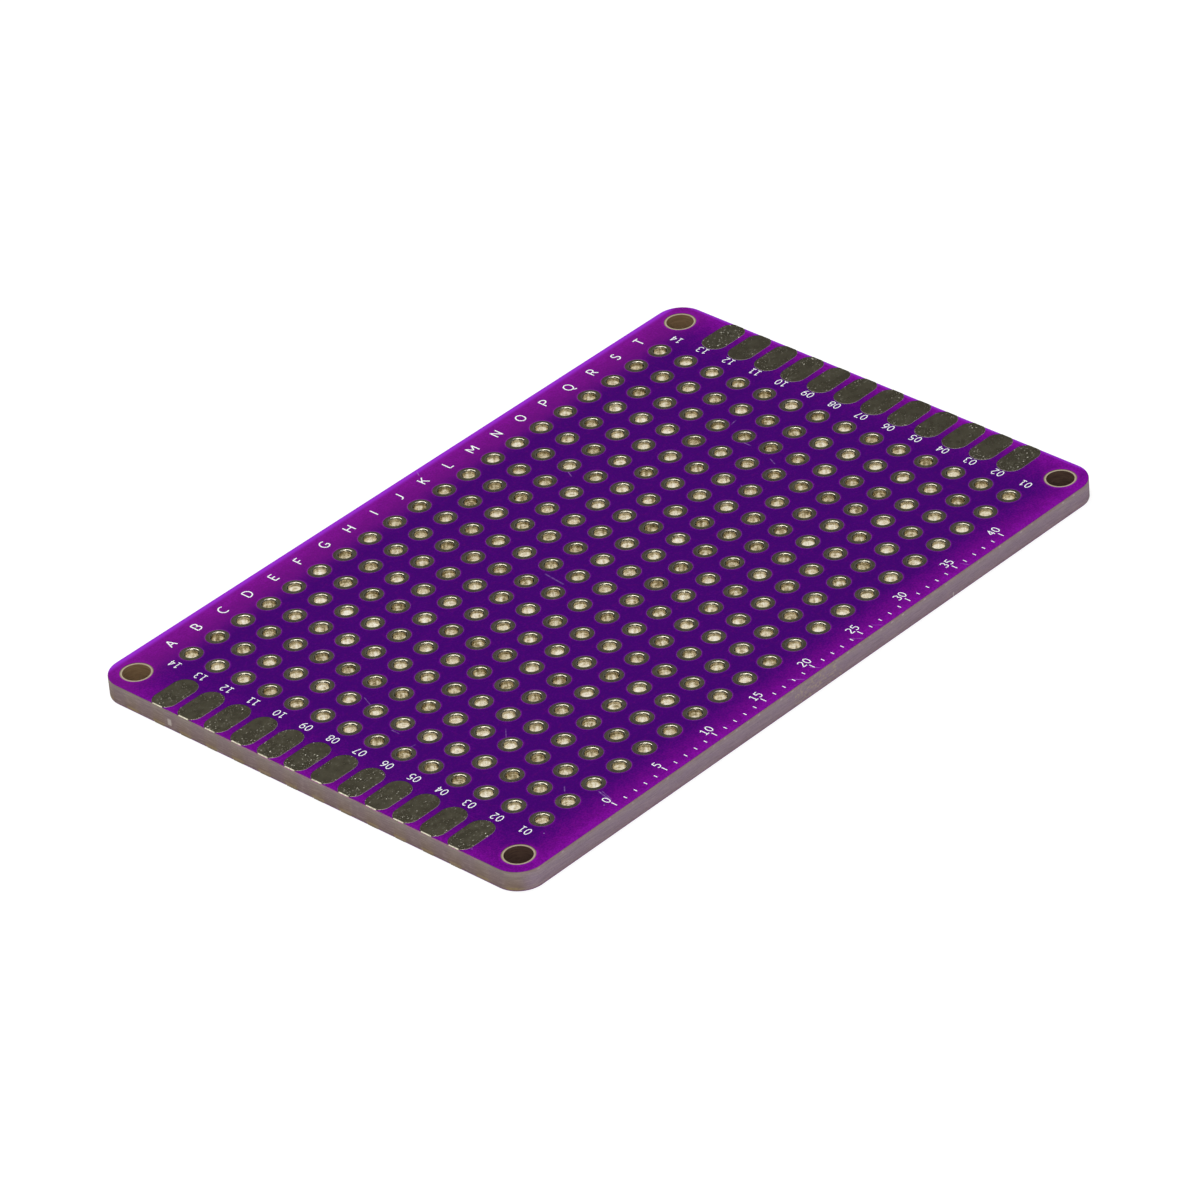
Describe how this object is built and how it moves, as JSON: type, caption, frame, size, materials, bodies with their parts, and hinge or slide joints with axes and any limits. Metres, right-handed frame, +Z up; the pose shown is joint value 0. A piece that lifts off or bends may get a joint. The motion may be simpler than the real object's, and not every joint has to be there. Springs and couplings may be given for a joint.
{
  "type": "prototype board",
  "caption": "Double-sided perforated prototype board: thin purple-masked glass-epoxy plate with a grid of tinned plated-through holes, oval pads along both short ends and plain corner holes.",
  "frame": {"origin": "on the resting plane, under the middle of the board", "axes": "+X along the long side, from column A to column T; +Y along the short side, from row 01 to row 14; +Z up through the thickness, out of the printed face"},
  "size_m": [0.06, 0.04, 0.0016],
  "materials": {
    "laminate": "cut glass-epoxy laminate, matt, with fine layers along its edges",
    "solder_mask": "thin purple solder-mask film, satin, paler towards the board's edges",
    "tinned_hole": "hot-levelled tin on copper, uneven and semi-bright",
    "tinned_pad": "hot-levelled tin on copper, dull olive grey with small bright specks",
    "legend_ink": "white printed ink of the letters and numbers, which only the visual model has"
  },
  "bodies": {
    "root": {"laminate": "laminate", "top_mask": "solder_mask", "bottom_mask": "solder_mask", "plated_holes_a": "tinned_hole", "plated_holes_b": "tinned_hole", "plated_holes_c": "tinned_hole", "plated_holes_d": "tinned_hole", "plated_holes_e": "tinned_hole", "plated_holes_f": "tinned_hole", "plated_holes_g": "tinned_hole", "plated_holes_h": "tinned_hole", "plated_holes_i": "tinned_hole", "plated_holes_j": "tinned_hole", "plated_holes_k": "tinned_hole", "plated_holes_l": "tinned_hole", "plated_holes_m": "tinned_hole", "plated_holes_n": "tinned_hole", "plated_holes_o": "tinned_hole", "plated_holes_p": "tinned_hole", "plated_holes_q": "tinned_hole", "plated_holes_r": "tinned_hole", "plated_holes_s": "tinned_hole", "plated_holes_t": "tinned_hole", "left_edge_pads_02": "tinned_pad", "left_edge_pads_03": "tinned_pad", "left_edge_pads_04": "tinned_pad", "left_edge_pads_05": "tinned_pad", "left_edge_pads_06": "tinned_pad", "left_edge_pads_07": "tinned_pad", "left_edge_pads_08": "tinned_pad", "left_edge_pads_09": "tinned_pad", "left_edge_pads_10": "tinned_pad", "left_edge_pads_11": "tinned_pad", "left_edge_pads_12": "tinned_pad", "left_edge_pads_13": "tinned_pad", "right_edge_pads_02": "tinned_pad", "right_edge_pads_03": "tinned_pad", "right_edge_pads_04": "tinned_pad", "right_edge_pads_05": "tinned_pad", "right_edge_pads_06": "tinned_pad", "right_edge_pads_07": "tinned_pad", "right_edge_pads_08": "tinned_pad", "right_edge_pads_09": "tinned_pad", "right_edge_pads_10": "tinned_pad", "right_edge_pads_11": "tinned_pad", "right_edge_pads_12": "tinned_pad", "right_edge_pads_13": "tinned_pad"}
  },
  "joints": []
}
